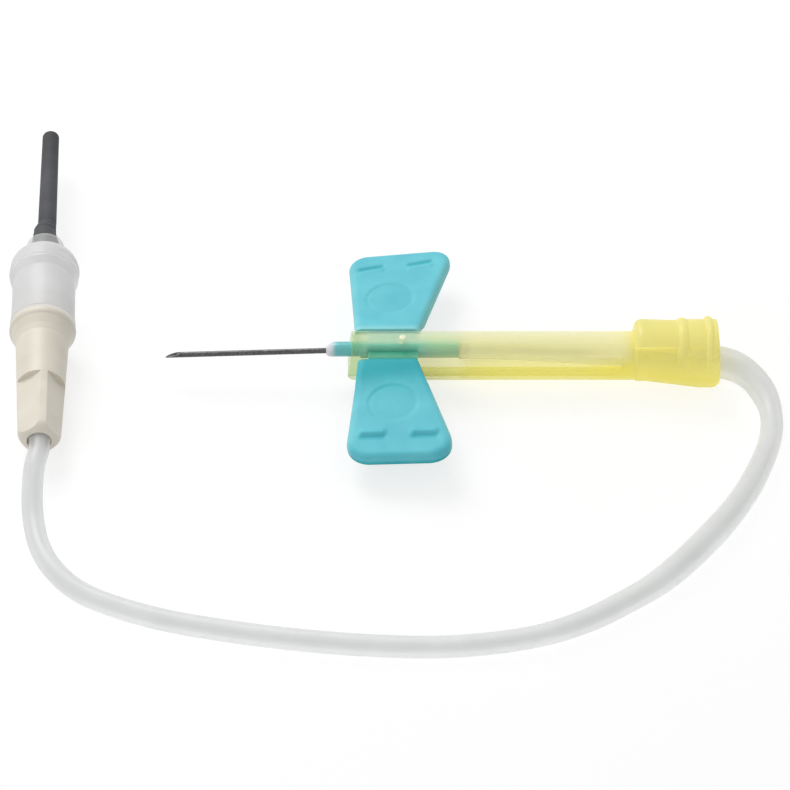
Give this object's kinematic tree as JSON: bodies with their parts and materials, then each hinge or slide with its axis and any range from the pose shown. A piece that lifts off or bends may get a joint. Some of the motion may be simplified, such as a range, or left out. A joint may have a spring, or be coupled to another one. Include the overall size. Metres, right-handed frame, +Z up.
{
  "type": "winged blood collection needle",
  "caption": "Winged blood collection needle with a sliding safety shield, folding wings, flexible tubing and a luer adapter with a sleeved rear needle.",
  "frame": {"origin": "on the table below the middle of the needle and shield, without the tubing and what is on it", "axes": "+Z up, -X the way the needle points, +Y towards the left wing"},
  "size_m": [0.09, 0.0831, 0.0083],
  "materials": {
    "steel": "ground and polished",
    "glue": "clear adhesive",
    "pale_blue_plastic": "moulded, glossy",
    "soft_blue_plastic": "soft moulded, fine matt",
    "yellow_plastic": "translucent moulded, glossy",
    "clear_tube": "soft clear extruded",
    "cream_plastic": "moulded, satin",
    "frosted_plastic": "translucent frosted",
    "rubber": "matt"
  },
  "bodies": {
    "hub": {"needle_cannula": "steel", "needle_adhesive": "glue", "hub": "pale_blue_plastic", "tubing": "clear_tube", "luer_hub": "cream_plastic"},
    "shield": {"safety_shield": "yellow_plastic"},
    "wing_left": {"wing_left": "soft_blue_plastic"},
    "wing_right": {"wing_right": "soft_blue_plastic"},
    "adapter": {"luer_adapter": "frosted_plastic", "rear_cannula": "steel", "rear_adhesive": "glue", "rubber_sleeve": "rubber"}
  },
  "joints": [
    {"name": "shield_slide", "type": "slide", "parent": "hub", "child": "shield", "axis": [-1, 0, 0], "range_m": [0, 0.0232]},
    {"name": "wing_left_fold", "type": "hinge", "parent": "hub", "child": "wing_left", "pos_m": [-0.0057, 0.0034, 0.00465], "axis": [1, 0, 0.007], "range_deg": [0, 85], "stiffness_Nm_per_rad": 0.0005},
    {"name": "wing_right_fold", "type": "hinge", "parent": "hub", "child": "wing_right", "pos_m": [-0.0057, -0.0034, 0.00465], "axis": [-1, 0, -0.007], "range_deg": [0, 85], "stiffness_Nm_per_rad": 0.0005},
    {"name": "adapter_pull", "type": "slide", "parent": "hub", "child": "adapter", "axis": [-0.0697, 0.9972, 0.0262], "range_m": [0, 0.012]}
  ]
}
